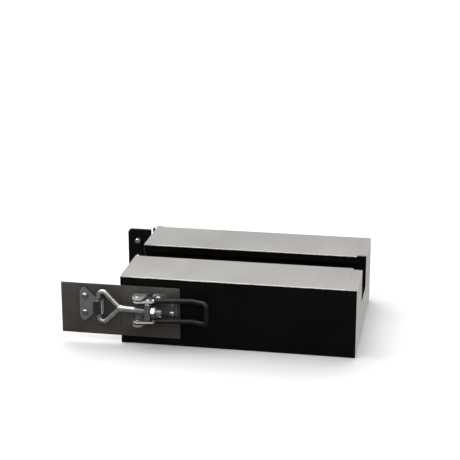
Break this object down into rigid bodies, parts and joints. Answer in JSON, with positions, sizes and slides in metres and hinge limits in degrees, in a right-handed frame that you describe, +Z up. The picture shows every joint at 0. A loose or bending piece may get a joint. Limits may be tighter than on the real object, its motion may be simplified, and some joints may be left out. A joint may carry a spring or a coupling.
{
  "type": "swing-away lathe bed section with toggle latch",
  "caption": "Short swing-away bed section for a wood lathe: two flat ways with a slot between, hinged at the rear and held against the lathe's bed by an adjustable over-centre toggle latch.",
  "frame": {"origin": "on the joint face that meets the lathe's bed, in the centre plane, halfway up the solid band under the notch", "axes": "+X along the bed away from the joint face, -Y towards the front, where the operator stands, +Z up"},
  "size_m": [0.3146, 0.2143, 0.075],
  "materials": {
    "bed_black": "satin black paint, the way tops ground bare",
    "end_plate_steel": "ground bare steel",
    "dowel_steel": "ground bare steel",
    "pad_grey": "dark grey, semi-matt",
    "latch_zinc": "bright zinc plate",
    "fastener_zinc": "bright zinc plate",
    "bail_zinc": "bright zinc plate, lightly rubbed",
    "grip_black": "satin black dip coating"
  },
  "bodies": {
    "bed": {"joint_end_plate": "end_plate_steel", "outer_end_plate": "end_plate_steel", "front_rail": "bed_black", "rear_rail": "bed_black", "cross_tie_inner": "bed_black", "cross_tie_outer": "bed_black", "locating_pin": "dowel_steel", "latch_pad": "pad_grey", "catch_pad": "pad_grey", "latch_base": "latch_zinc", "catch": "latch_zinc", "base_screw_1": "fastener_zinc", "base_screw_2": "fastener_zinc", "base_screw_3": "fastener_zinc", "base_screw_4": "fastener_zinc", "catch_screw_1": "fastener_zinc", "catch_screw_2": "fastener_zinc", "upper_rivet": "fastener_zinc", "lower_rivet": "fastener_zinc", "bed_leaf": "bed_black", "bed_leaf_screw_1": "fastener_zinc", "bed_leaf_screw_2": "fastener_zinc", "bed_leaf_screw_3": "fastener_zinc", "hinge_pin": "fastener_zinc"},
    "lever": {"lever": "latch_zinc", "grip": "grip_black"},
    "trunnion": {"trunnion": "bail_zinc"},
    "bail": {"bail": "bail_zinc"},
    "nut": {"adjusting_nut": "fastener_zinc"},
    "fixed_leaf": {"fixed_leaf": "bed_black", "fixed_leaf_screw_1": "fastener_zinc", "fixed_leaf_screw_2": "fastener_zinc", "fixed_leaf_screw_3": "fastener_zinc"}
  },
  "joints": [
    {"name": "lever_swing", "type": "hinge", "parent": "bed", "child": "lever", "pos_m": [0.0225, -0.1033, 0.024], "axis": [0, 0, -1], "range_deg": [0, 90]},
    {"name": "bail_pivot", "type": "hinge", "parent": "lever", "child": "trunnion", "pos_m": [0.0335, -0.1015, 0.024], "axis": [0, 0, -1], "range_deg": [-80, 0]},
    {"name": "bail_adjust", "type": "slide", "parent": "trunnion", "child": "bail", "axis": [0.9932, -0.1163, 0], "range_m": [-0.002, 0]},
    {"name": "nut_turn", "type": "hinge", "parent": "trunnion", "child": "nut", "pos_m": [0.0335, -0.1015, 0.024], "axis": [0.9932, -0.1163, 0], "range_deg": [0, 720]},
    {"name": "leaf_swing", "type": "hinge", "parent": "bed", "child": "fixed_leaf", "pos_m": [0, 0.0973, 0.019], "axis": [0, 0, -1], "range_deg": [0, 175]}
  ],
  "couplings": [
    {"joint": "bail_pivot", "follows": "lever_swing", "ratio": -0.88},
    {"joint": "nut_turn", "follows": "bail_adjust", "rad_per_m": -6283.2}
  ]
}
